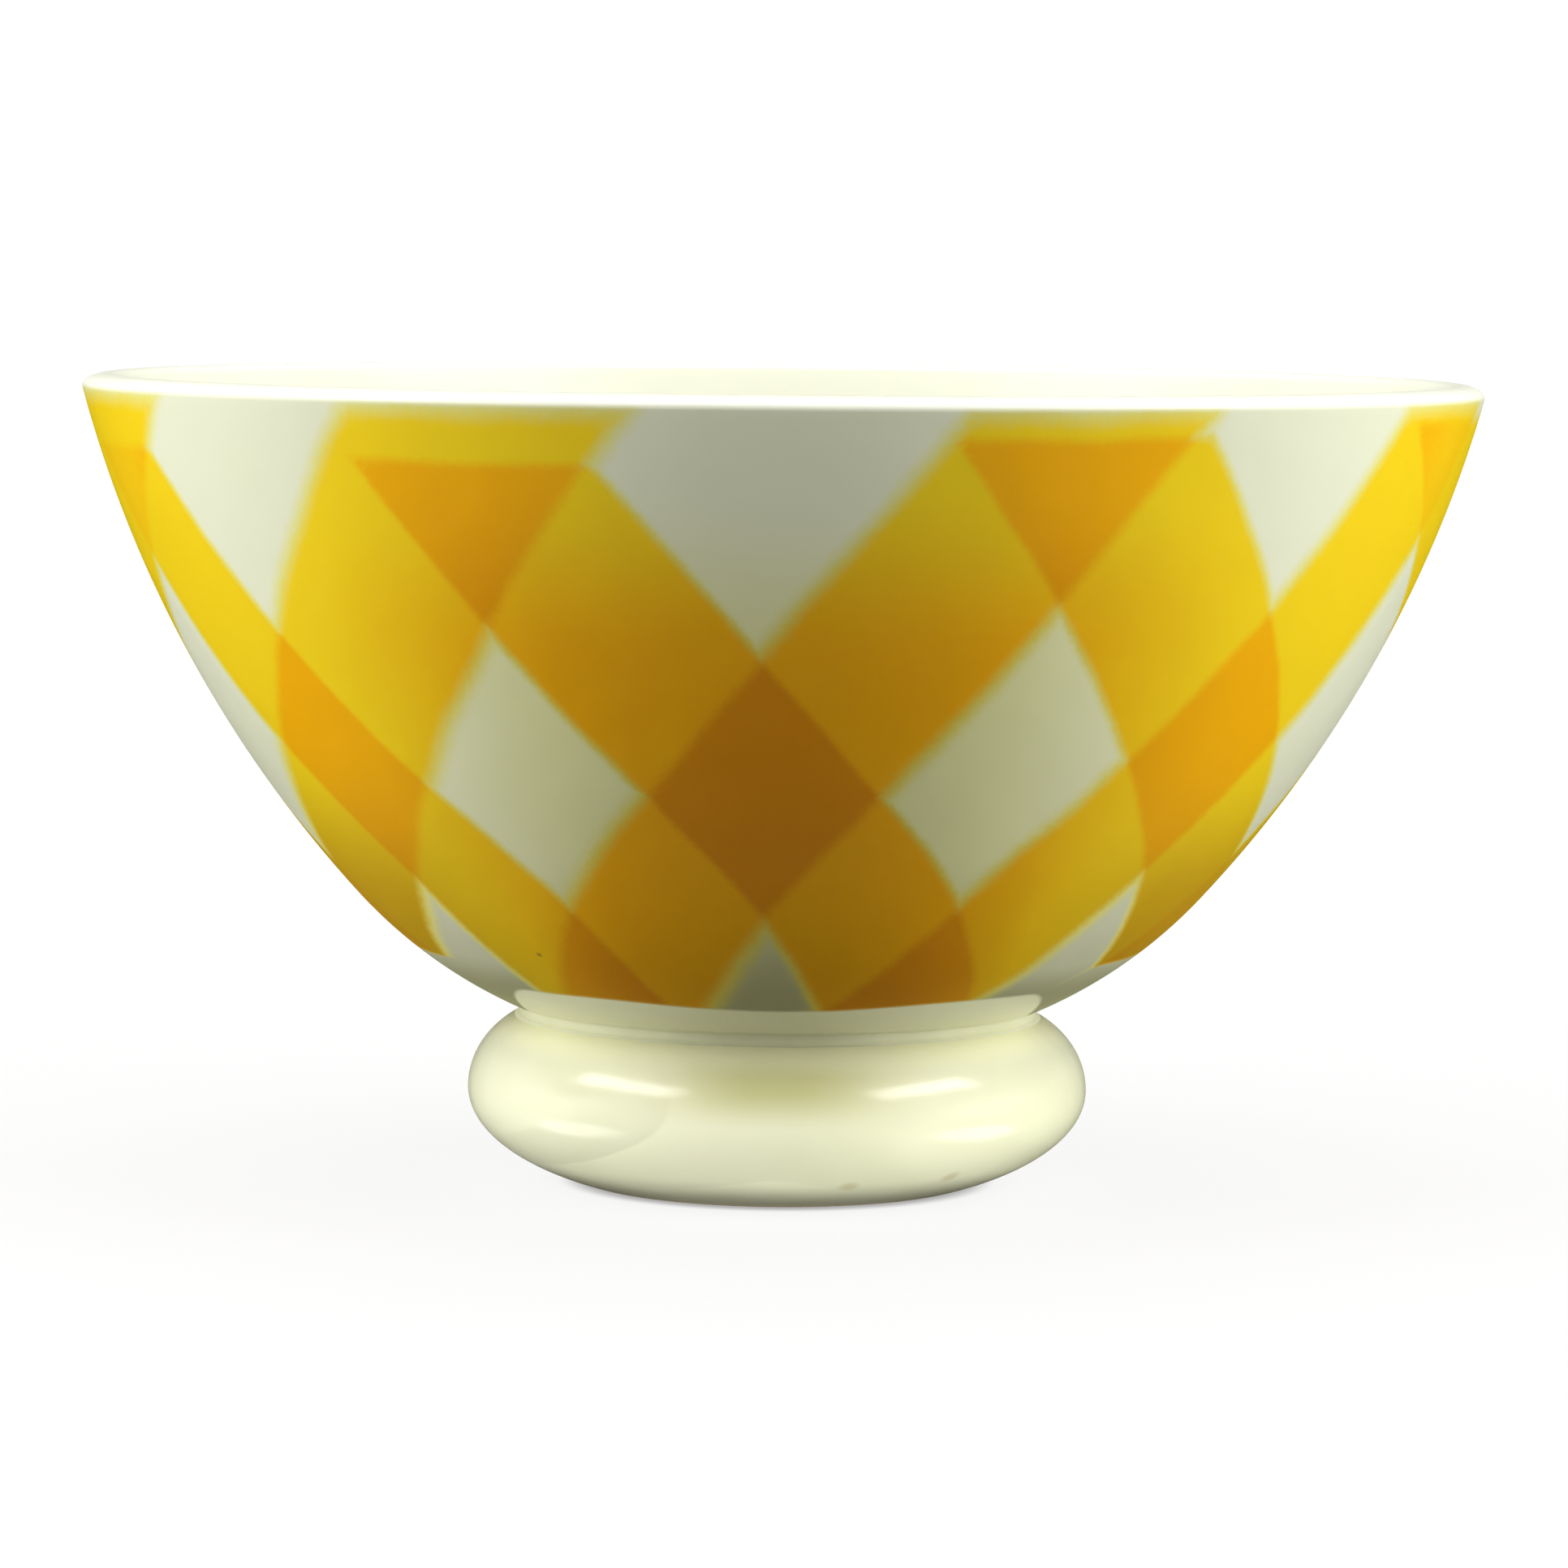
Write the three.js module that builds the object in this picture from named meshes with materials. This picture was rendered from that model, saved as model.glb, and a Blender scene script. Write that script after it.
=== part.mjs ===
// Footed earthenware bowl: a thrown cup, a hollow foot ring and the ring of slip that joins them.
// Millimetres, +Z up. The origin is on the table, in the middle of the standing ring.
import * as THREE from 'three';

// Cup: lip and wall
const rimRadius = 75;
const height = 87;
const lipOuterRound = 2.6;
const lipInnerRound = 1.2;
const rimSlope = 15;
const shoulderRadius = 45.7;
const shoulderRise = 12.4;
const shoulderWall = 4.5;
const baseThickness = 5;

// Joint between the cup and its foot
const neckRadius = 28.6;
const jointLand = 7.4;
const slipThickness = 1.2;
const slipSetback = 0.7;
const slipCove = 0.4;

// Foot ring
const footHeight = 18.2;
const footInset = 0.4;
const footRadius = 33.5;
const bellyHeight = 10.2;
const standRadius = 20.5;
const standWidth = 3.3;
const hollowSwell = 7.5;
const beadSweep = 60;

// Levels and radii that the pieces share
const seatHeight = footHeight + slipThickness;
const floorHeight = seatHeight + baseThickness;
const crestRadius = rimRadius - lipOuterRound;
const jointInnerRadius = neckRadius - jointLand;

// Facets
const turnSteps = 64;
const wallSteps = 9;
const turnUnderSteps = 7;
const lipSteps = 5;
const beadSteps = 7;
const hollowSteps = 9;
const coveSteps = 4;

const degrees = (angle) => THREE.MathUtils.degToRad(angle);
const fractions = (steps) => Array.from({ length: steps + 1 }, (_, step) => step / steps);

// Round stretch about a centre, from one angle to another, measured from straight outwards.
function roundPoints(centre, radiusAcross, radiusUp, fromAngle, toAngle, steps) {
  return fractions(steps).map((share) => {
    const angle = THREE.MathUtils.lerp(fromAngle, toAngle, share);
    return new THREE.Vector2(
      centre.x + radiusAcross * Math.cos(angle),
      centre.y + radiusUp * Math.sin(angle),
    );
  });
}

// Circular arc that leaves its start at a slope and runs through its end.
// A slope is the angle from straight down, leaning in towards the axis.
function arcThrough(start, slope, end, steps) {
  const chord = start.distanceTo(end);
  const halfTurn = Math.atan2(start.x - end.x, start.y - end.y) - slope;
  const points = fractions(steps).map((share) => {
    const reach = chord * Math.sin(halfTurn * share) / Math.sin(halfTurn);
    const heading = slope + halfTurn * share;
    return new THREE.Vector2(
      start.x - reach * Math.sin(heading),
      start.y - reach * Math.cos(heading),
    );
  });
  return { points, slope: slope + 2 * halfTurn };
}

// Solid of revolution about +Z from a profile of radius and height.
// The profile runs outwards underneath, up the outside, and back down the inside.
function revolve(name, profile, material) {
  const geometry = new THREE.LatheGeometry(profile, turnSteps);
  geometry.rotateX(Math.PI / 2);
  const mesh = new THREE.Mesh(geometry, material);
  mesh.name = name;
  return mesh;
}

// Cup: flat base, wall of two tangent arcs, round lip, and an inside that ends in a level floor.
function makeCup() {
  const slope = degrees(rimSlope);
  const lipOutside = roundPoints(
    new THREE.Vector2(crestRadius, height - lipOuterRound),
    lipOuterRound, lipOuterRound, -slope, Math.PI / 2, lipSteps,
  );
  const lipInside = roundPoints(
    new THREE.Vector2(crestRadius, height - lipInnerRound),
    lipInnerRound, lipInnerRound, Math.PI / 2, Math.PI - slope, lipSteps,
  );

  const shoulder = new THREE.Vector2(shoulderRadius, seatHeight + shoulderRise);
  const neck = new THREE.Vector2(neckRadius, seatHeight);
  const upper = arcThrough(lipOutside[0], slope, shoulder, wallSteps);
  const lower = arcThrough(shoulder, upper.slope, neck, turnUnderSteps);

  const innerShoulder = new THREE.Vector2(
    shoulder.x - shoulderWall * Math.cos(upper.slope),
    shoulder.y + shoulderWall * Math.sin(upper.slope),
  );
  const innerUpper = arcThrough(lipInside.at(-1), slope, innerShoulder, wallSteps);
  const bend = (innerShoulder.y - floorHeight) / (1 - Math.sin(innerUpper.slope));
  const innerLower = roundPoints(
    new THREE.Vector2(innerShoulder.x - bend * Math.cos(innerUpper.slope), floorHeight + bend),
    bend, bend, -innerUpper.slope, -Math.PI / 2, turnUnderSteps,
  );

  const outside = [...upper.points, ...lower.points.slice(1)].reverse();
  const inside = [...innerUpper.points.slice(1), ...innerLower.slice(1)];
  const profile = [
    new THREE.Vector2(0, seatHeight),
    ...outside,
    ...lipOutside.slice(1),
    ...lipInside.slice(1),
    ...inside,
    new THREE.Vector2(0, floorHeight),
  ];
  const glaze = new THREE.MeshStandardMaterial({ color: 0xe8c63c, roughness: 0.18, metalness: 0 });
  return revolve('cup', profile, glaze);
}

// Slip joint: flat ring of luting slip, wiped to a shallow cove at the neck.
function makeSlipJoint() {
  const cove = fractions(coveSteps).map((share) => new THREE.Vector2(
    neckRadius - slipSetback - slipCove * Math.sin(Math.PI * share),
    footHeight + slipThickness * share,
  ));
  const profile = [
    new THREE.Vector2(jointInnerRadius, footHeight),
    ...cove,
    new THREE.Vector2(jointInnerRadius, seatHeight),
    new THREE.Vector2(jointInnerRadius, footHeight),
  ];
  const slip = new THREE.MeshStandardMaterial({ color: 0xd9d6b8, roughness: 0.35, metalness: 0 });
  return revolve('slip_joint', profile, slip);
}

// Foot ring: swelling bead that narrows to a flat standing ring, cast hollow underneath.
function makeFootRing() {
  const sweep = degrees(beadSweep);
  const topRadius = neckRadius - footInset;
  const openingRadius = standRadius - standWidth;
  const spread = 1 - Math.cos(sweep);

  const underReach = (footRadius - standRadius) / spread;
  const under = roundPoints(
    new THREE.Vector2(footRadius - underReach, bellyHeight),
    underReach, bellyHeight / Math.sin(sweep), -sweep, 0, beadSteps,
  );
  const overReach = (footRadius - topRadius) / spread;
  const over = roundPoints(
    new THREE.Vector2(footRadius - overReach, bellyHeight),
    overReach, (footHeight - bellyHeight) / Math.sin(sweep), 0, sweep, beadSteps,
  );
  const hollow = fractions(hollowSteps).map((share) => new THREE.Vector2(
    THREE.MathUtils.lerp(jointInnerRadius, openingRadius, share)
      + hollowSwell * Math.sin(Math.PI * share) ** 2,
    footHeight * (1 - share),
  ));
  const profile = [
    new THREE.Vector2(openingRadius, 0),
    ...under,
    ...over.slice(1),
    ...hollow,
  ];
  const glaze = new THREE.MeshStandardMaterial({ color: 0xedeed6, roughness: 0.15, metalness: 0 });
  return revolve('foot_ring', profile, glaze);
}

const bowl = new THREE.Group();
bowl.add(makeFootRing(), makeSlipJoint(), makeCup());

export default bowl;
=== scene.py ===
"""Looks of a footed earthenware bowl with an airbrushed check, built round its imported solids."""
import math

import bpy
import numpy as np
from mathutils import Matrix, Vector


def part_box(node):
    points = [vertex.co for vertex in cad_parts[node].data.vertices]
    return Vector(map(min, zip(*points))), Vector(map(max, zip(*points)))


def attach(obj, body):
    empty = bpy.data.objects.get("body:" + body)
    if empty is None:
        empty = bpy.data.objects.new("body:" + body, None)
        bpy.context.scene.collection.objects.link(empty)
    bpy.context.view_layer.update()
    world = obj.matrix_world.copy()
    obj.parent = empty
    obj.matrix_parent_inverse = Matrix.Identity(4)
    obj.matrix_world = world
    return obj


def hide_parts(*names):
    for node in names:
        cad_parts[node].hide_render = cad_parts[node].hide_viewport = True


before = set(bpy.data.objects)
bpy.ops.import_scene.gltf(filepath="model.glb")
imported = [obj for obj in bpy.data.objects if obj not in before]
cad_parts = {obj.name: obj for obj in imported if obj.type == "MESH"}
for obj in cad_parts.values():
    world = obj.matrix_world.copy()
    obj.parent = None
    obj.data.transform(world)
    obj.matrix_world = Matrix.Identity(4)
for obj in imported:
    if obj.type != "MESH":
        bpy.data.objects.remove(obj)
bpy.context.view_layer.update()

# Foot ring: a hollow bead of ivory-glazed earthenware, cast apart from the cup.
# It narrows to a flat standing ring, wiped bare of glaze so that it does not stick in the kiln.
MM = 0.001
_, foot_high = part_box("foot_ring")
FOOT_RADIUS = foot_high.y
FOOT_HEIGHT = foot_high.z
BELLY_HEIGHT = 10.2 * MM
FOOT_TOP_RADIUS = 28.2 * MM
STAND_RADIUS = 20.5 * MM
STAND_WIDTH = 3.3 * MM
HOLLOW_TOP_RADIUS = 21.2 * MM
HOLLOW_SWELL = 7.5 * MM
BEAD_SWEEP = math.radians(60)
STAND_EDGE = 0.35 * MM
STAND_EDGE_RISE = 0.4 * STAND_EDGE
FOOT_TURN = 320
FOOT_FLAT_POINTS = 6
UNDER_BEAD_POINTS = 42
OVER_BEAD_POINTS = 30
HOLLOW_POINTS = 40


def bead_profile():
    """Closed outline of the foot: standing flat, two elliptic arcs up the outside, top flat, hollow.

    Each arc sweeps the same angle from the belly, so its half-axes follow from the end it has to reach.
    The hollow is a straight taper plus a squared sine, widest near half height.
    """
    spread = 1 - math.cos(BEAD_SWEEP)
    opening = STAND_RADIUS - STAND_WIDTH
    flat = np.linspace(opening + STAND_EDGE, STAND_RADIUS - STAND_EDGE, FOOT_FLAT_POINTS)
    low = np.linspace(-BEAD_SWEEP, 0, UNDER_BEAD_POINTS)
    reach = (FOOT_RADIUS - STAND_RADIUS) / spread
    low_r = FOOT_RADIUS - reach * (1 - np.cos(low))
    low_z = BELLY_HEIGHT + BELLY_HEIGHT / math.sin(BEAD_SWEEP) * np.sin(low)
    low_z[0] = STAND_EDGE_RISE
    high = np.linspace(0, BEAD_SWEEP, OVER_BEAD_POINTS)[1:]
    reach = (FOOT_RADIUS - FOOT_TOP_RADIUS) / spread
    high_r = FOOT_RADIUS - reach * (1 - np.cos(high))
    high_z = BELLY_HEIGHT + (FOOT_HEIGHT - BELLY_HEIGHT) / math.sin(BEAD_SWEEP) * np.sin(high)
    top = np.linspace(FOOT_TOP_RADIUS - STAND_EDGE, HOLLOW_TOP_RADIUS, FOOT_FLAT_POINTS)
    share = np.linspace(0, 1, HOLLOW_POINTS)[1:]
    hollow_r = HOLLOW_TOP_RADIUS + (opening - HOLLOW_TOP_RADIUS) * share
    hollow_r = hollow_r + HOLLOW_SWELL * np.sin(math.pi * share) ** 2
    hollow_z = FOOT_HEIGHT * (1 - share)
    hollow_z[-1] = STAND_EDGE_RISE
    radius = np.concatenate([flat, low_r, high_r, top, hollow_r])
    height = np.concatenate([0 * flat, low_z, high_z, 0 * top + FOOT_HEIGHT, hollow_z])
    return radius, height


def turned_piece(name, radius, height, around, closed):
    """Carries a profile once round +Z: a point is (r sin a, -r cos a, z), with a = 0 at the front.

    A closed profile makes a ring. An open one starts and ends on the axis, and a fan closes each end.
    """
    angle = np.linspace(0, 2 * math.pi, around, endpoint=False)
    if not closed:
        poles = [(0.0, 0.0, height[0]), (0.0, 0.0, height[-1])]
        radius, height = radius[1:-1], height[1:-1]
    points = np.stack(
        [
            radius[:, None] * np.sin(angle),
            -radius[:, None] * np.cos(angle),
            height[:, None] + 0 * angle,
        ],
        axis=-1,
    ).reshape(-1, 3)
    index = np.arange(len(points)).reshape(len(radius), around)
    here = index if closed else index[:-1]
    above = np.roll(index, -1, axis=0) if closed else index[1:]
    faces = np.stack([here, np.roll(here, -1, 1), np.roll(above, -1, 1), above], axis=-1)
    faces = faces.reshape(-1, 4).tolist()
    if not closed:
        first, last = index[0], index[-1]
        under, inner = 0 * first + len(points), 0 * last + len(points) + 1
        points = np.concatenate([points, poles])
        faces += np.stack([under, np.roll(first, -1), first], axis=-1).tolist()
        faces += np.stack([last, np.roll(last, -1), inner], axis=-1).tolist()
    mesh = bpy.data.meshes.new(name)
    mesh.from_pydata(points.tolist(), [], faces)
    mesh.shade_smooth()
    piece = bpy.data.objects.new(name, mesh)
    bpy.context.collection.objects.link(piece)
    return piece


class NodeTree:
    """Short calls for wiring a material: each call adds one node and returns its first output."""

    def __init__(self, name):
        self.material = bpy.data.materials.new(name)
        self.material.use_nodes = True
        self.nodes = self.material.node_tree.nodes
        self.links = self.material.node_tree.links
        self.shader = self.nodes["Principled BSDF"]

    def put(self, value, socket):
        if isinstance(value, bpy.types.NodeSocket):
            self.links.new(value, socket)
        else:
            socket.default_value = value

    def add(self, kind, **settings):
        node = self.nodes.new(kind)
        for key, value in settings.items():
            setattr(node, key, value)
        return node

    def sum(self, operation, first, second=0.0, third=0.0):
        node = self.add("ShaderNodeMath", operation=operation)
        for value, socket in zip((first, second, third), node.inputs):
            self.put(value, socket)
        return node.outputs[0]

    def ramp(self, value, low, high, to_low=0.0, to_high=1.0):
        node = self.add("ShaderNodeMapRange", interpolation_type="SMOOTHSTEP")
        for given, socket in zip((value, low, high, to_low, to_high), node.inputs):
            self.put(given, socket)
        return node.outputs[0]

    def tint(self, amount, first, second):
        node = self.add("ShaderNodeMix", data_type="RGBA")
        self.put(amount, node.inputs[0])
        self.put(first, node.inputs[6])
        self.put(second, node.inputs[7])
        return node.outputs[2]

    def place(self):
        return self.add("ShaderNodeTexCoord").outputs["Object"]

    def noise(self, where, scale, detail=2.0, roughness=0.5):
        node = self.add("ShaderNodeTexNoise")
        self.put(where, node.inputs["Vector"])
        node.inputs["Scale"].default_value = scale
        node.inputs["Detail"].default_value = detail
        node.inputs["Roughness"].default_value = roughness
        return node.outputs["Fac"]

    def mark(self, name):
        return self.add("ShaderNodeAttribute", attribute_name=name).outputs["Fac"]

    def parts(self, where):
        node = self.add("ShaderNodeSeparateXYZ")
        self.put(where, node.inputs[0])
        return node.outputs

    def apart(self, where, spot):
        node = self.add("ShaderNodeVectorMath", operation="DISTANCE")
        self.put(where, node.inputs[0])
        self.put(spot, node.inputs[1])
        return node.outputs["Value"]

    def spot(self, where, place, fade, depth):
        away = self.apart(where, tuple(MM * side for side in place))
        return self.ramp(away, *fade, depth, 0.0)

    def bump(self, height, distance, strength=1.0):
        node = self.add("ShaderNodeBump")
        node.inputs["Strength"].default_value = strength
        node.inputs["Distance"].default_value = distance
        self.put(height, node.inputs["Height"])
        self.links.new(node.outputs[0], self.shader.inputs["Normal"])


IVORY = (0.77, 0.78, 0.565, 1.0)
POOLED_IVORY = (0.73, 0.745, 0.51, 1.0)
# Painted shade of the cup on the foot's top, tinted by the cup's yellow as a painted reflection.
CUP_SHADE_AND_REFLECTION = (0.54, 0.53, 0.26, 1.0)
# Painted light: the foot's top is made paler just under the neck, lifting the shade of the cup.
NECK_PAINTED_LIGHT = (0.90, 0.89, 0.60, 1.0)
# Painted contact shade, darker just above the standing ring.
CONTACT_SHADE_IVORY = (0.36, 0.355, 0.25, 1.0)
BARE_CLAY = (0.52, 0.43, 0.29, 1.0)
KILN_SMUDGE = (0.50, 0.42, 0.22, 1.0)
SMUDGES = [(18.3, -22.9, 3.8), (7.6, -27.6, 3.3)]
SMUDGE_FADE = (0.3 * MM, 1.5 * MM)
SMUDGE_DEPTH = 0.5
WAVE_SCALE = 70.0
PIT_SCALE = 900.0
PIT_SPREAD = (0.3, 0.8)
PIT_DEPTH = 0.012
GLAZE_RELIEF = 0.25 * MM
FOOT_GLOSS = (0.16, 0.22)
UNEVEN_SCALE = 45.0
UNEVEN_SPREAD = (0.35, 0.75)
CUP_SHADE_ACROSS = (2.0 * MM, 17.0 * MM)
CUP_SHADE_RISE = (9.5 * MM, 14.0 * MM)
NECK_LIGHT_RISE = (15.0 * MM, 18.2 * MM)
CONTACT_SHADE_WANDER = 1.2 * MM
CONTACT_SHADE_RISE = (1.5 * MM, 4.6 * MM)
BARE_RISE = (0.2 * MM, 0.6 * MM)


def glaze_surface(tree, where, smoothest, dullest, relief, dulled=0.0):
    """Gloss, slow waves and fine pitting of a dipped glaze, shared by every glazed piece."""
    wave = tree.noise(where, WAVE_SCALE)
    pit = tree.noise(where, PIT_SCALE)
    gloss = tree.sum("ADD", tree.ramp(pit, *PIT_SPREAD, smoothest, dullest), dulled)
    tree.put(gloss, tree.shader.inputs["Roughness"])
    tree.bump(tree.sum("MULTIPLY_ADD", pit, PIT_DEPTH, wave), relief)


def foot_glaze():
    """Ivory glaze with painted shade of the cup at front and back, tinted as a painted reflection.

    Painted light lifts the top under the neck, and painted contact shade darkens the glaze just above
    the wiped standing ring.
    """
    tree = NodeTree("foot_ivory_glaze")
    where = tree.place()
    glaze_surface(tree, where, *FOOT_GLOSS, GLAZE_RELIEF)
    across, _, rise = tree.parts(where)
    uneven = tree.noise(where, UNEVEN_SCALE, 3.0)
    color = tree.tint(tree.ramp(uneven, *UNEVEN_SPREAD), IVORY, POOLED_IVORY)
    # Painted shade and painted reflection of the cup on the foot's top, at front and back.
    cup_shade = tree.ramp(tree.sum("ABSOLUTE", across), *CUP_SHADE_ACROSS, 1.0, 0.0)
    cup_shade = tree.sum("MULTIPLY", cup_shade, tree.ramp(rise, *CUP_SHADE_RISE))
    color = tree.tint(cup_shade, color, CUP_SHADE_AND_REFLECTION)
    # Painted light just under the neck.
    color = tree.tint(tree.ramp(rise, *NECK_LIGHT_RISE), color, NECK_PAINTED_LIGHT)
    for place in SMUDGES:
        smudge = tree.spot(where, place, SMUDGE_FADE, SMUDGE_DEPTH)
        color = tree.tint(smudge, color, KILN_SMUDGE)
    # Painted contact shade just above the standing ring, with a wandering edge.
    contact_shade = tree.sum("MULTIPLY_ADD", uneven, CONTACT_SHADE_WANDER, rise)
    color = tree.tint(tree.ramp(contact_shade, *CONTACT_SHADE_RISE, 1.0, 0.0), color, CONTACT_SHADE_IVORY)
    bare = tree.ramp(rise, *BARE_RISE, 1.0, 0.0)
    tree.put(tree.tint(bare, color, BARE_CLAY), tree.shader.inputs["Base Color"])
    return tree.material


foot = turned_piece("glazed_foot_ring", *bead_profile(), FOOT_TURN, True)
foot.data.materials.append(foot_glaze())
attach(foot, "root")
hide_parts("foot_ring")

# Slip joint: a thin ring of liquid clay that lutes the cup to the foot, fired and glazed over.
# It was wiped round with a finger, which leaves a shallow cove in the neck.
slip_low, slip_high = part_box("slip_joint")
COVE_ROUND = 0.6 * MM
COVE_SLOPE = math.radians(26.4)
COVE_APEX = 27.05 * MM
SLIP_EDGE = 28.5 * MM
SLIP_TURN = 256
COVE_POINTS = 24
SLIP_INNER_POINTS = 6


def slip_profile():
    """Closed outline of the joint: a round cove that runs out between cup and foot, and a plain inside.

    The cove is the arc of a circle in the notch between two lines that leave its apex at equal slopes.
    """
    middle = (slip_low.z + slip_high.z) / 2
    centre = COVE_APEX + COVE_ROUND / math.sin(COVE_SLOPE)
    half_turn = math.pi / 2 - COVE_SLOPE
    turn = np.linspace(math.pi + half_turn, math.pi - half_turn, COVE_POINTS)
    cove_r = centre + COVE_ROUND * np.cos(turn)
    cove_z = middle + COVE_ROUND * np.sin(turn)
    inner = np.linspace(cove_z[-1], cove_z[0], SLIP_INNER_POINTS)
    radius = np.concatenate([[SLIP_EDGE], cove_r, [SLIP_EDGE], 0 * inner + HOLLOW_TOP_RADIUS])
    rise = (SLIP_EDGE - cove_r[0]) * math.tan(COVE_SLOPE)
    height = np.concatenate([[cove_z[0] - rise], cove_z, [cove_z[-1] + rise], inner])
    return radius, height


# Painted light: the slip is paler than the foot's glaze, lifting the shade in the crease.
SLIP_IVORY_PAINTED_LIGHT = (0.85, 0.86, 0.62, 1.0)
POOLED_SLIP_PAINTED_LIGHT = (0.81, 0.82, 0.57, 1.0)
SLIP_GLOSS = (0.35, 0.45)
SLIP_RELIEF = 0.04 * MM
STREAK_SCALE = 160.0
STREAK_SPREAD = (0.3, 0.7)


def slip_glaze():
    """The same glaze, drawn thin over the joint so that it is a little duller, with painted light in the
    crease.
    """
    tree = NodeTree("slip_ivory_glaze")
    where = tree.place()
    glaze_surface(tree, where, *SLIP_GLOSS, SLIP_RELIEF)
    streak = tree.ramp(tree.noise(where, STREAK_SCALE), *STREAK_SPREAD)
    tree.put(tree.tint(streak, SLIP_IVORY_PAINTED_LIGHT, POOLED_SLIP_PAINTED_LIGHT), tree.shader.inputs["Base Color"])
    return tree.material


slip = turned_piece("luting_slip_ring", *slip_profile(), SLIP_TURN, True)
slip.data.materials.append(slip_glaze())
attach(slip, "root")
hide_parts("slip_joint")

# Cup: turned earthenware under a glossy ivory glaze, airbrushed through a stencil with slanting bands.
# Bands lean both ways, and where two coats cross the yellow deepens to amber.
cup_low, cup_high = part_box("cup")
RIM_RADIUS = 75.0 * MM
RIM_HEIGHT = cup_high.z
SEAT_HEIGHT = cup_low.z
LIP_REACH = 2.6 * MM
LIP_RISE = 1.35 * MM
LIP_INNER_ROUND = 1.2 * MM
RIM_SLOPE = math.radians(15)
SHOULDER_RADIUS = 45.7 * MM
SHOULDER_RISE = 12.4 * MM
SHOULDER_WALL = 4.5 * MM
BASE_THICKNESS = 5.0 * MM
NECK_RADIUS = 28.6 * MM
CUP_TURN = 384
LIP_POINTS = 20
INNER_LIP_POINTS = 9
WALL_STEPS = 80
TURN_UNDER_STEPS = 30
INNER_WALL_STEPS = 50
INNER_BEND_POINTS = 30
CUP_FLAT_POINTS = 7


def arc_through(start, slope, end, steps):
    """Circular arc that leaves its start at a slope from straight down and runs through its end.

    A share t of the arc is reached by a chord that turns by t times the half turn.
    """
    chord = math.hypot(start[0] - end[0], start[1] - end[1])
    half_turn = math.atan2(start[0] - end[0], start[1] - end[1]) - slope
    share = np.linspace(0, 1, steps + 1)
    reach = chord * np.sin(half_turn * share) / math.sin(half_turn)
    heading = slope + half_turn * share
    return start[0] - reach * np.sin(heading), start[1] - reach * np.cos(heading), slope + 2 * half_turn


def cup_profile():
    """Outline of the cup from the axis under its base, up the outside, over the lip and to its floor.

    The wall is two tangent arcs on each side. An elliptic and a small round meet at the lip's crest.
    """
    crest = RIM_RADIUS - LIP_REACH
    leave = -math.atan(LIP_RISE / LIP_REACH * math.tan(RIM_SLOPE))
    turn = np.linspace(leave, math.pi / 2, LIP_POINTS)
    lip_r = crest + LIP_REACH * np.cos(turn)
    lip_z = RIM_HEIGHT - LIP_RISE + LIP_RISE * np.sin(turn)
    turn = np.linspace(math.pi / 2, math.pi - RIM_SLOPE, INNER_LIP_POINTS)[1:]
    inlip_r = crest + LIP_INNER_ROUND * np.cos(turn)
    inlip_z = RIM_HEIGHT - LIP_INNER_ROUND + LIP_INNER_ROUND * np.sin(turn)

    shoulder = (SHOULDER_RADIUS, SEAT_HEIGHT + SHOULDER_RISE)
    up_r, up_z, slope = arc_through((lip_r[0], lip_z[0]), RIM_SLOPE, shoulder, WALL_STEPS)
    neck = (NECK_RADIUS, SEAT_HEIGHT)
    low_r, low_z, _ = arc_through(shoulder, slope, neck, TURN_UNDER_STEPS)
    wall_r = np.concatenate([up_r, low_r[1:]])[::-1]
    wall_z = np.concatenate([up_z, low_z[1:]])[::-1]

    inner = (
        shoulder[0] - SHOULDER_WALL * math.cos(slope),
        shoulder[1] + SHOULDER_WALL * math.sin(slope),
    )
    inner_lip = (inlip_r[-1], inlip_z[-1])
    in_r, in_z, slope = arc_through(inner_lip, RIM_SLOPE, inner, INNER_WALL_STEPS)
    floor_height = SEAT_HEIGHT + BASE_THICKNESS
    bend = (inner[1] - floor_height) / (1 - math.sin(slope))
    turn = np.linspace(-slope, -math.pi / 2, INNER_BEND_POINTS)[1:]
    bowl_r = inner[0] + bend * (np.cos(turn) - math.cos(slope))
    bowl_z = floor_height + bend * (1 + np.sin(turn))
    base = np.linspace(0, NECK_RADIUS, CUP_FLAT_POINTS)[:-1]
    floor = np.linspace(bowl_r[-1], 0, CUP_FLAT_POINTS)[1:]
    radius = np.concatenate([base, wall_r, lip_r[1:], inlip_r, in_r[1:], bowl_r, floor])
    height = np.concatenate(
        [0 * base + SEAT_HEIGHT, wall_z, lip_z[1:], inlip_z, in_z[1:], bowl_z, 0 * floor + floor_height]
    )
    return radius, height


MIDDLE = 40.0
BEND_START = 32.0
SLANT_CORE = 5.0 * MM
OUTSIDE_ALL_BANDS = -99.0
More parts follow.
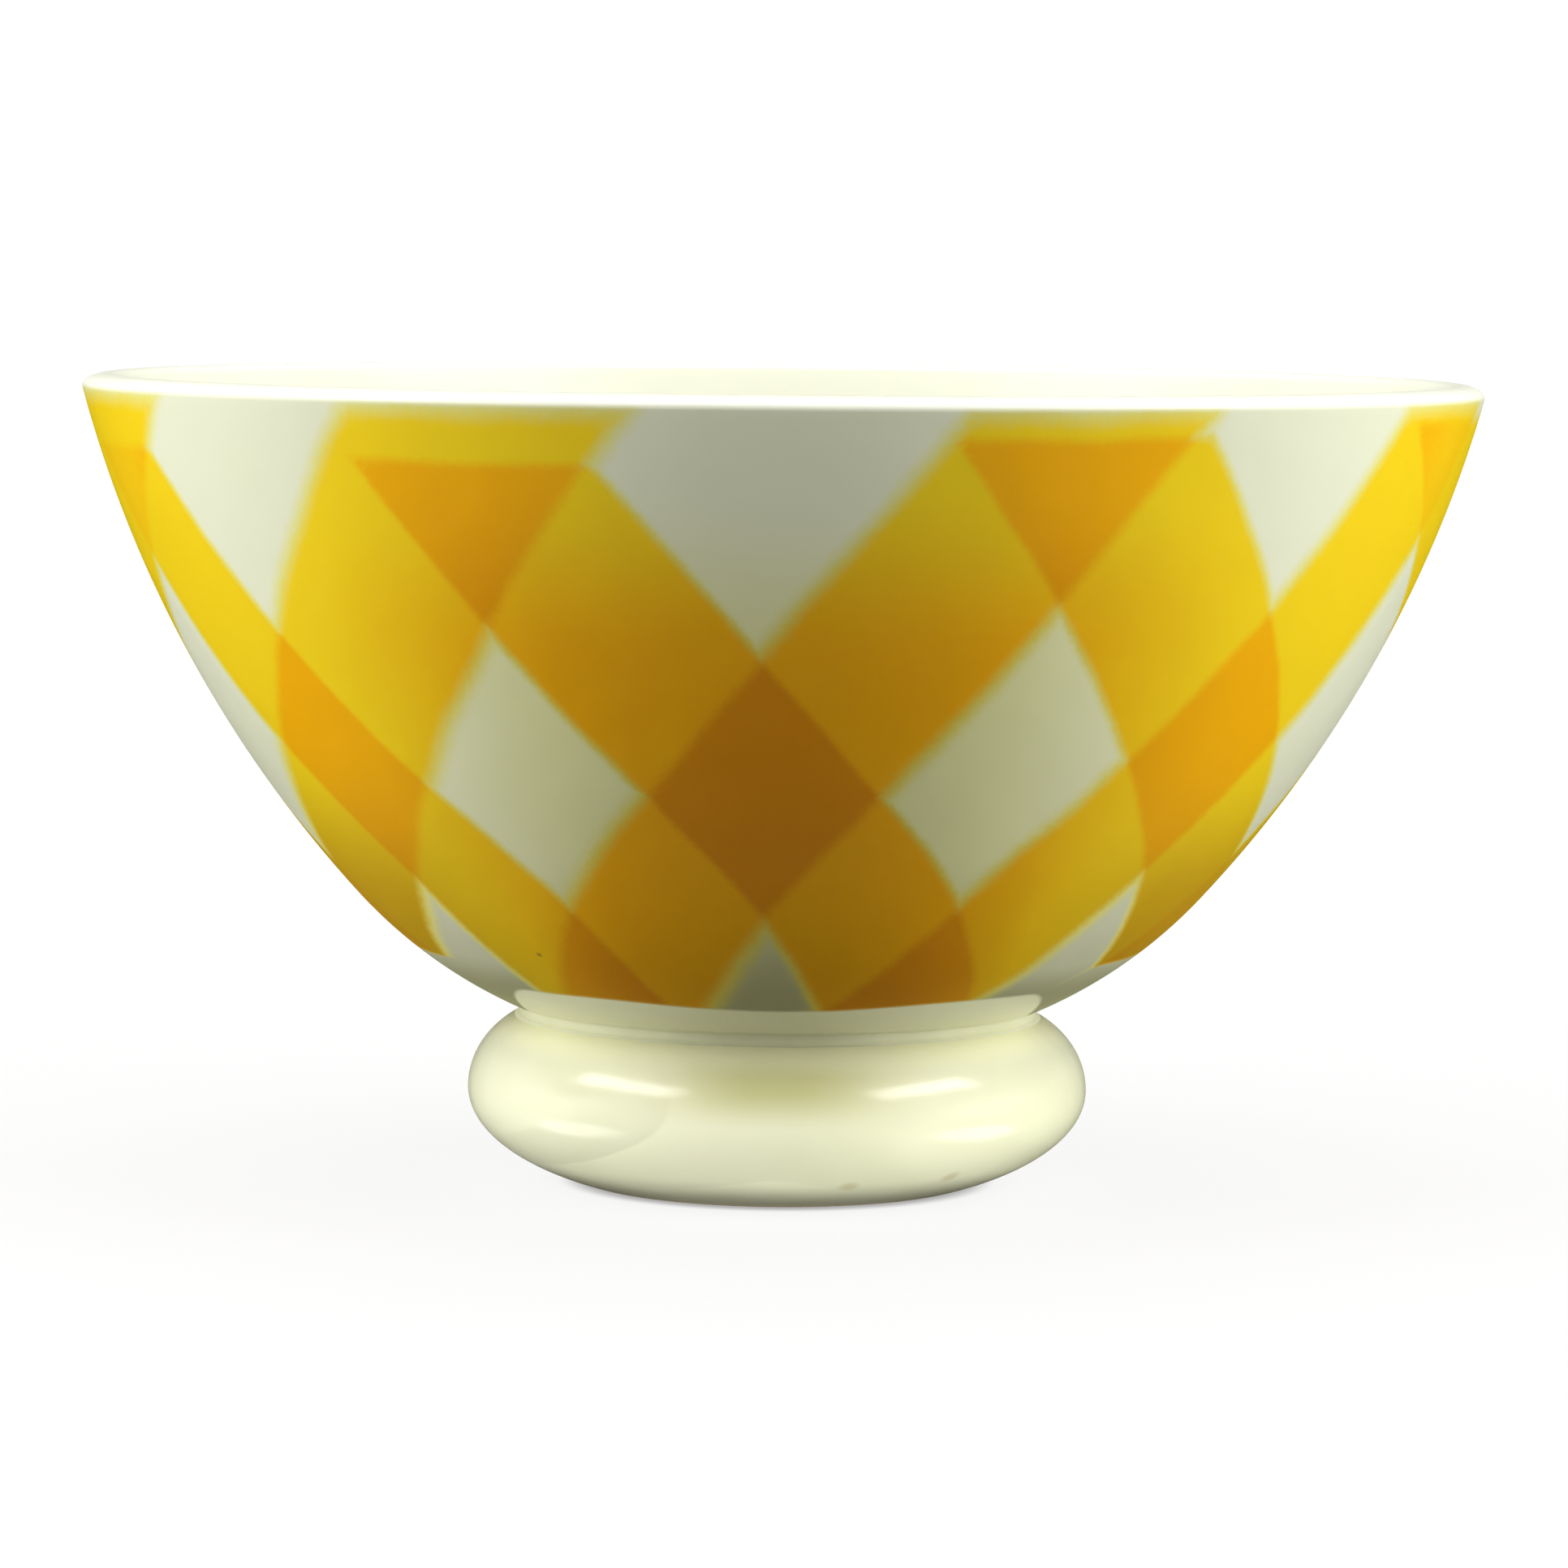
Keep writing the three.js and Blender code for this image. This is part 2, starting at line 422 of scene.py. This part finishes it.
# Each band: azimuth at mid wall, lean in degrees per degree of slant, half width in degrees,
# widening towards the foot, the height along the wall where it stops, and its bend near the foot.
DOWN_RIGHT_BANDS = [
    (-48.4, -0.672, 10.2, 0.067, 77.6, 0.016),
    (-1.6, -0.725, 12.2, 0.050, 77.6, 0.0115),
    (50.8, -0.781, 12.1, 0.030, 80.6, 0.016),
    (107.0, -0.980, 12.0, 0.000, 81.5, 0.020),
    (153.3, -0.710, 11.5, 0.050, 78.0, 0.012),
    (208.5, -0.720, 12.0, 0.045, 80.0, 0.012),
    (263.7, -0.710, 11.8, 0.045, 78.5, 0.012),
]
UP_RIGHT_BANDS = [
    (-50.85, 0.748, 12.75, 0.028, 82.8, 0.000),
    (-1.75, 0.711, 12.25, 0.056, 82.8, -0.008),
    (44.3, 0.640, 11.5, 0.057, 82.8, -0.005),
    (92.0, 0.710, 12.0, 0.045, 82.8, -0.006),
    (148.5, 0.715, 11.8, 0.045, 82.8, -0.006),
    (204.9, 0.720, 12.2, 0.045, 82.8, -0.006),
    (256.5, 0.820, 12.0, -0.080, 82.8, -0.006),
]
# Heights are millimetres along the wall from the neck. Spans over azimuth are degrees from the front
# or the back, whichever is nearer.
CLEAN_FRONT = 6.7
CLEAN_BETWEEN = 8.2
CLEAN_WIDENS = (0.0, 35.0)
CLEAN_ENDS = (70.0, 47.0)
PAINT_SIDE = 13.0
PAINT_LIFTS = (38.0, 60.0)
RIM_LINE = 83.3
# Where heavier paint and painted shade lie, round the front and back.
HEAVY_AND_SHADED_AZIMUTH = (48.0, 18.0)
HEAVY_AND_SHADED_HEIGHT = (76.0, 56.0)
SHADED_AZIMUTH = (28.0, 57.0)
SHADED_HEIGHT = (44.0, 20.0)
THIN_SECOND_AZIMUTH = (58.0, 70.0)
THIN_SECOND_LOSS = 0.65


def stencil_reach(azimuth, climb, slant, radius, bands):
    """Signed distance in millimetres into the nearest band: positive inside it, negative outside.

    Across a band it is the half width less the angle from the band's middle line, times the radius,
    and along it the wall left below the band's top end. The middle line keeps one slope on the wall,
    which is a straight line over slant, and bends near the foot. Slant is wall length over radius,
    added up in degrees.
    """
    reach = np.full(np.broadcast(azimuth, climb).shape, OUTSIDE_ALL_BANDS)
    for middle, lean, half_width, widening, top, bend in bands:
        away = azimuth - middle - lean * slant + bend * np.maximum(BEND_START - climb, 0.0) ** 2
        away = np.abs((away + 180.0) % 360.0 - 180.0)
        side = np.radians(half_width - widening * slant - away) * radius / MM
        reach = np.maximum(reach, np.minimum(side, top - climb))
    return reach


def ease(value, start, end):
    """Smooth step from 0 at the start to 1 at the end."""
    share = np.clip((value - start) / (end - start), 0.0, 1.0)
    return share ** 2 * (3.0 - 2.0 * share)


def give_marks(piece, **marks):
    """Stores each array as a value per point, and the mean of an end row on the axis point next to it."""
    for name, values in marks.items():
        ends = [values[0].mean(), values[-1].mean()]
        values = np.concatenate([values.ravel(), ends]).astype(np.float32)
        piece.data.attributes.new(name, "FLOAT", "POINT").data.foreach_set("value", values)


GROUND = (0.84, 0.86, 0.65, 1.0)
# Ground where the paint is heavier, darkened also by painted shade at front and back.
DUSTED_AND_SHADED_GROUND = (0.81, 0.81, 0.43, 1.0)
CLEAN_GLAZE = (0.91, 0.92, 0.78, 1.0)
# Painted shade inside the bowl, darker below the lip.
INSIDE_SHADED_GLAZE = (0.62, 0.625, 0.47, 1.0)
WIPED_GLAZE = (0.90, 0.91, 0.66, 1.0)
# Overspray and painted shade towards the foot, and painted shade low on the sides.
FOOTWARD_DUST_AND_SHADE = (0.39, 0.39, 0.22, 1.0)
THIN_LEMON = (0.84, 0.79, 0.22, 1.0)
# The heavy colours hold heavier paint and painted shade round the front and back.
HEAVY_LEMON_AND_SHADE = (0.76, 0.65, 0.10, 1.0)
THIN_YELLOW = (0.95, 0.68, 0.012, 1.0)
HEAVY_YELLOW_AND_SHADE = (0.90, 0.43, 0.001, 1.0)
THIN_AMBER = (0.95, 0.46, 0.002, 1.0)
HEAVY_AMBER_AND_SHADE = (0.74, 0.28, 0.001, 1.0)
SHADED_AMBER = (0.42, 0.18, 0.001, 1.0)
IRON_SPECK = (0.20, 0.13, 0.03, 1.0)
SPECKS = [(-21.6, -68.3, 73.4), (-24.6, -34.0, 28.2)]
SPECK_FADE = (0.15 * MM, 0.5 * MM)
SPECK_DEPTH = 0.6
CUP_GLOSS = (0.285, 0.33)
CUP_SPECULAR = 0.32
DULL_FADE = (6.0, 42.0)
DULL_MOST = 0.65
CLEAN_EDGE = (-0.4, 0.4)
PAINT_EDGE = (-0.5, 0.5)
SPRAY_TOP_EDGE = (RIM_LINE - 0.5, RIM_LINE + 0.3)
RIM_EDGE = (RIM_LINE - 0.25, RIM_LINE + 0.25)
INSIDE_SHADE_FADE = (RIM_LINE + 9.0, RIM_LINE + 34.0)
GRAIN_SCALE = 1400.0
DRIFT_SCALE = 90.0
DRIFT_WEIGHT = 0.25
# Each coat: edge width, wander of the edge and width of its lemon fringe, in millimetres and edge widths.
CRISP_COAT = (0.8, 1.0, 1.5)
SOFT_COAT = (1.25, 1.4, 2.0)
# How overspray and painted shade darken the wall towards the foot.
DUST_AND_SHADE_FADE = (26.0, 1.0)
LOW_DUST_AND_SHADE_FADE = (17.0, 7.0)
DUST_AND_SHADE_MOST = 0.9
DUST_AND_SHADE_AT_SIDES = 0.25
GROUND_SHADE = 0.3
PAINT_DUST_AND_SHADE = 0.3
PAINT_SHADE = 0.62


def check_glaze():
    """Ivory glaze with two coats of sprayed yellow, one crisp and one soft-edged.

    A coat starts as a lemon haze and thickens to yellow, and where two coats lie it turns amber.
    Overspray and painted shade darken ground and paint towards the foot, heavier paint and painted
    shade deepen them round the front and back, painted shade darkens them low on the sides, and
    painted shade darkens the glaze inside below the lip.
    """
    tree = NodeTree("checked_glaze")
    where = tree.place()
    above_clean = tree.mark("above_clean")
    wall_climb = tree.mark("wall_climb")
    dusted = tree.ramp(above_clean, *CLEAN_EDGE)
    dulled = tree.sum("MULTIPLY", dusted, tree.ramp(above_clean, *DULL_FADE, DULL_MOST, 0.0))
    glaze_surface(tree, where, *CUP_GLOSS, GLAZE_RELIEF, dulled)
    tree.shader.inputs["Specular IOR Level"].default_value = CUP_SPECULAR
    grain = tree.sum("SUBTRACT", tree.noise(where, GRAIN_SCALE), 0.5)
    drift = tree.sum("SUBTRACT", tree.noise(where, DRIFT_SCALE), 0.5)
    sprayed = tree.ramp(tree.mark("above_paint"), *PAINT_EDGE)
    sprayed = tree.sum("MULTIPLY", sprayed, tree.ramp(wall_climb, *SPRAY_TOP_EDGE, 1.0, 0.0))

    def coat(name, edge, wander, fringe):
        reach = tree.sum("MULTIPLY_ADD", grain, edge * 0.7, tree.mark(name))
        reach = tree.sum("MULTIPLY_ADD", drift, wander, reach)
        haze = tree.sum("MULTIPLY", tree.ramp(reach, -fringe * edge, 0.4 * edge), sprayed)
        return haze, tree.sum("MULTIPLY", tree.ramp(reach, -0.5 * edge, 1.5 * edge), sprayed)

    crisp_haze, crisp = coat("down_right_coat", *CRISP_COAT)
    soft_haze, soft = coat("up_right_coat", *SOFT_COAT)
    haze = tree.sum("MAXIMUM", crisp_haze, soft_haze)
    either = tree.sum("MAXIMUM", crisp, soft)
    both = tree.sum("MULTIPLY", tree.sum("MULTIPLY", crisp, soft), tree.mark("second_coat"))
    # Heavier paint and painted shade round the front and back, with a random drift.
    weight = tree.sum("ADD", tree.mark("coat_weight"), tree.sum("MULTIPLY", drift, DRIFT_WEIGHT))
    # Overspray and painted shade darken the wall towards the foot, less at the sides.
    dust_and_shade = tree.ramp(above_clean, *DUST_AND_SHADE_FADE, 0.0, DUST_AND_SHADE_MOST)
    dust_and_shade = tree.sum("MULTIPLY", dust_and_shade, tree.ramp(weight, 0.0, 1.0, DUST_AND_SHADE_AT_SIDES, 1.0))
    dust_and_shade = tree.sum("MAXIMUM", dust_and_shade, tree.ramp(wall_climb, *LOW_DUST_AND_SHADE_FADE, 0.0, DUST_AND_SHADE_MOST))
    ground = tree.tint(weight, GROUND, DUSTED_AND_SHADED_GROUND)
    ground = tree.tint(dust_and_shade, ground, FOOTWARD_DUST_AND_SHADE)
    shade = tree.mark("side_shade")
    ground = tree.tint(tree.sum("MULTIPLY", shade, GROUND_SHADE), ground, FOOTWARD_DUST_AND_SHADE)
    ground = tree.tint(dusted, WIPED_GLAZE, ground)
    ground = tree.tint(tree.ramp(wall_climb, *RIM_EDGE), ground, CLEAN_GLAZE)
    # Painted shade darkens the glaze inside below the lip.
    ground = tree.tint(tree.ramp(wall_climb, *INSIDE_SHADE_FADE), ground, INSIDE_SHADED_GLAZE)
    painted = tree.tint(haze, ground, tree.tint(weight, THIN_LEMON, HEAVY_LEMON_AND_SHADE))
    painted = tree.tint(either, painted, tree.tint(weight, THIN_YELLOW, HEAVY_YELLOW_AND_SHADE))
    painted = tree.tint(both, painted, tree.tint(weight, THIN_AMBER, HEAVY_AMBER_AND_SHADE))
    # Painted shade, with the overspray, deepens the paint to amber towards the foot and on the sides.
    deepened = tree.sum("MULTIPLY", dust_and_shade, PAINT_DUST_AND_SHADE)
    deepened = tree.sum("MAXIMUM", deepened, tree.sum("MULTIPLY", shade, PAINT_SHADE))
    painted = tree.tint(tree.sum("MULTIPLY", deepened, either), painted, SHADED_AMBER)
    for place in SPECKS:
        speck = tree.spot(where, place, SPECK_FADE, SPECK_DEPTH)
        painted = tree.tint(speck, painted, IRON_SPECK)
    tree.put(painted, tree.shader.inputs["Base Color"])
    return tree.material


cup_r, cup_z = cup_profile()
cup = turned_piece("checked_cup", cup_r, cup_z, CUP_TURN, False)
lengths = np.hypot(np.diff(cup_r), np.diff(cup_z))
climb = (np.concatenate([[0.0], np.cumsum(lengths)]) - NECK_RADIUS) / MM
slant = np.cumsum(np.degrees(lengths / np.maximum(cup_r[1:], SLANT_CORE)))
slant = slant - np.interp(MIDDLE, climb[1:], slant)
climb = climb[1:-1, None]
slant = slant[:-1, None]
azimuth = np.linspace(0.0, 360.0, CUP_TURN, endpoint=False)[None, :]
wall_radius = cup_r[1:-1, None]
front_or_back = np.abs((azimuth + 90.0) % 180.0 - 90.0)
clean_line = CLEAN_FRONT + (CLEAN_BETWEEN - CLEAN_FRONT) * ease(front_or_back, *CLEAN_WIDENS)
clean_line = clean_line * ease(front_or_back, *CLEAN_ENDS)
paint_line = np.maximum(clean_line, PAINT_SIDE * ease(front_or_back, *PAINT_LIFTS))
# The paint is heavier round the front and the back, with painted shade there too.
# Painted shade lies low on the sides.
give_marks(
    cup,
    coat_weight=ease(front_or_back, *HEAVY_AND_SHADED_AZIMUTH) * ease(climb, *HEAVY_AND_SHADED_HEIGHT),
    second_coat=1.0 - THIN_SECOND_LOSS * ease(front_or_back, *THIN_SECOND_AZIMUTH) + 0.0 * climb,
    side_shade=ease(front_or_back, *SHADED_AZIMUTH) * ease(climb, *SHADED_HEIGHT),
    down_right_coat=stencil_reach(azimuth, climb, slant, wall_radius, DOWN_RIGHT_BANDS),
    up_right_coat=stencil_reach(azimuth, climb, slant, wall_radius, UP_RIGHT_BANDS),
    above_clean=climb - clean_line,
    above_paint=climb - paint_line,
    wall_climb=climb + 0.0 * azimuth,
)
cup.data.materials.append(check_glaze())
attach(cup, "root")
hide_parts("cup")

# Studio: a white sweep, a pale table top, softboxes high and low at the sides and a soft one overhead.
# Three lights below the table reach the foot alone, as light thrown back by a white floor would.
# The side towards the camera is left dark, so the front of the bowl is the least lit.
SWEEP_RADIUS = 4.0
SWEEP_BEND = 1.2
# A painted soft shadow: the sweep glows less near the bowl.
SWEEP_NEAR_SHADE_GLOW = 0.88
SWEEP_FAR_GLOW = 1.02
SWEEP_WHITE = (0.09, 0.09, 0.09, 1.0)
TABLE_HALF = 0.6
TABLE_PALE = (0.22, 0.22, 0.20, 1.0)
TABLE_DROP = 0.5 * MM
SWEEP_BEND_POINTS = 24
SWEEP_TURN = 96
NEAR_SHADE_FADE = (0.12, 0.45)
CONTACT_FADE = (20.5 * MM, 24.0 * MM)
CONTACT_GLOW = 0.45
AIM_HEIGHT = 0.05
STRIP_SIZE = (0.70, 0.22)
STRIP_WATTS = 3.8
OVERHEAD_SIZE = (1.00, 1.00)
OVERHEAD_WATTS = 11.5
LOW_SIZE = (0.60, 0.24)
LOW_LEFT_WATTS = 4.9
LOW_RIGHT_WATTS = 5.1
FOOT_FILL_SIZE = (0.60, 0.14)
FOOT_FILL_WATTS = 2.45
GLINT_SIZE = (0.36, 0.20)
GLINT_LEFT_WATTS = 0.66
GLINT_RIGHT_WATTS = 0.74
AIR_GLOW = 0.08


def sweep_surface():
    """Level disc that bends up all round into an upright wall with a lid: a profile carried round +Z.

    It gives light of its own, so a painted shadow dims that glow near the bowl, and the shade where
    the foot stands is a dimmer ring in that glow.
    """
    turn = np.linspace(0, math.pi / 2, SWEEP_BEND_POINTS)
    bend = SWEEP_RADIUS - SWEEP_BEND + SWEEP_BEND * np.sin(turn)
    radius = np.concatenate([[0.0], bend, [SWEEP_RADIUS], [0.0]])
    height = np.concatenate([[0.0], SWEEP_BEND * (1 - np.cos(turn)), [SWEEP_RADIUS], [SWEEP_RADIUS]])
    sweep = turned_piece("studio_sweep", radius, height, SWEEP_TURN, False)
    tree = NodeTree("sweep_white")
    tree.shader.inputs["Base Color"].default_value = SWEEP_WHITE
    tree.shader.inputs["Roughness"].default_value = 1.0
    tree.shader.inputs["Specular IOR Level"].default_value = 0.0
    tree.shader.inputs["Emission Color"].default_value = (1.0, 1.0, 1.0, 1.0)
    reach = tree.add("ShaderNodeVectorMath", operation="LENGTH")
    tree.put(tree.place(), reach.inputs[0])
    away = reach.outputs["Value"]
    # Painted shadow: a dimmer glow near the bowl and a dimmer ring where the foot stands.
    glow = tree.ramp(away, *NEAR_SHADE_FADE, SWEEP_NEAR_SHADE_GLOW, SWEEP_FAR_GLOW)
    glow = tree.sum("MULTIPLY", glow, tree.ramp(away, *CONTACT_FADE, CONTACT_GLOW, 1.0))
    tree.put(glow, tree.shader.inputs["Emission Strength"])
    sweep.data.materials.append(tree.material)
    sweep.visible_diffuse = False
    sweep.visible_glossy = False
    sweep.visible_transmission = False
    sweep.visible_shadow = False
    return sweep


def table_top():
    """One level square just under the sweep, which throws light back up on the bowl."""
    mesh = bpy.data.meshes.new("studio_table")
    corners = np.array([(-1, -1, 0), (1, -1, 0), (1, 1, 0), (-1, 1, 0)]) * TABLE_HALF
    corners[:, 2] = -TABLE_DROP
    mesh.from_pydata(corners.tolist(), [], [(0, 1, 2, 3)])
    table = bpy.data.objects.new("studio_table", mesh)
    bpy.context.collection.objects.link(table)
    tree = NodeTree("table_pale")
    tree.shader.inputs["Base Color"].default_value = TABLE_PALE
    tree.shader.inputs["Roughness"].default_value = 0.9
    tree.shader.inputs["Specular IOR Level"].default_value = 0.0
    mesh.materials.append(tree.material)
    table.visible_camera = False
    table.visible_glossy = False
    return table


def softbox(name, place, along, length, width, watts):
    """A rectangular light at a place, shining at the bowl, with its length along a level direction."""
    lamp = bpy.data.lights.new(name, "AREA")
    lamp.shape = "RECTANGLE"
    lamp.size = length
    lamp.size_y = width
    lamp.energy = watts
    box = bpy.data.objects.new(name, lamp)
    bpy.context.collection.objects.link(box)
    place = np.array(place)
    back = place - np.array((0.0, 0.0, AIM_HEIGHT))
    back = back / np.linalg.norm(back)
    across = np.cross(back, np.array(along))
    across = across / np.linalg.norm(across)
    run = np.cross(across, back)
    turn = np.eye(4)
    turn[:3, 0] = run
    turn[:3, 1] = across
    turn[:3, 2] = back
    turn[:3, 3] = place
    box.matrix_world = Matrix(turn.tolist())
    box.visible_camera = False
    return box


sweep_surface()
table_top()
softbox("strip_left", (-0.73, -0.34, 0.62), (-0.42, 0.91, 0.0), *STRIP_SIZE, STRIP_WATTS)
softbox("strip_right", (0.73, -0.34, 0.62), (0.42, 0.91, 0.0), *STRIP_SIZE, STRIP_WATTS)
softbox("overhead", (0.0, 0.04, 1.1), (1.0, 0.0, 0.0), *OVERHEAD_SIZE, OVERHEAD_WATTS)
for side, reach, watts in (("left", -0.80, LOW_LEFT_WATTS), ("right", 0.80, LOW_RIGHT_WATTS)):
    low = softbox("low_" + side, (reach, -0.06, 0.10), (0.0, 1.0, 0.0), *LOW_SIZE, watts)
    low.visible_glossy = False

foot_lit = bpy.data.collections.new("foot_lit")
foot_lit.objects.link(foot)
foot_lights = [
    softbox("foot_fill", (0.0, -0.50, -0.25), (1.0, 0.0, 0.0), *FOOT_FILL_SIZE, FOOT_FILL_WATTS),
    softbox("foot_glint_left", (-0.48, -0.06, -0.24), (0.0, 1.0, 0.0), *GLINT_SIZE, GLINT_LEFT_WATTS),
    softbox("foot_glint_right", (0.48, -0.06, -0.24), (0.0, 1.0, 0.0), *GLINT_SIZE, GLINT_RIGHT_WATTS),
]
foot_lights[0].visible_glossy = False
for light in foot_lights:
    light.data.shape = "ELLIPSE"
    light.light_linking.receiver_collection = foot_lit
    light.light_linking.blocker_collection = foot_lit

world = bpy.data.worlds.new("studio_air")
world.use_nodes = True
world.node_tree.nodes["Background"].inputs["Color"].default_value = (1.0, 1.0, 1.0, 1.0)
world.node_tree.nodes["Background"].inputs["Strength"].default_value = AIR_GLOW
bpy.context.scene.world = world
world.cycles_visibility.glossy = False
bpy.context.scene.view_settings.view_transform = "Standard"

CAMERA_DISTANCE = 0.700
CAMERA_HEIGHT = 0.1035
CAMERA_PITCH = math.radians(4.93)
CAMERA_YAW = math.radians(-0.037)
CAMERA_ROLL = math.radians(0.55)
CAMERA_LENS = 149.19
lens = bpy.data.cameras.new("studio_camera")
lens.sensor_width = 36.0
lens.lens = CAMERA_LENS
camera = bpy.data.objects.new("studio_camera", lens)
bpy.context.collection.objects.link(camera)
camera.matrix_world = (
    Matrix.Translation((0.0, -CAMERA_DISTANCE, CAMERA_HEIGHT))
    @ Matrix.Rotation(CAMERA_YAW, 4, "Z")
    @ Matrix.Rotation(math.pi / 2 - CAMERA_PITCH, 4, "X")
    @ Matrix.Rotation(CAMERA_ROLL, 4, "Z")
)
bpy.context.scene.camera = camera
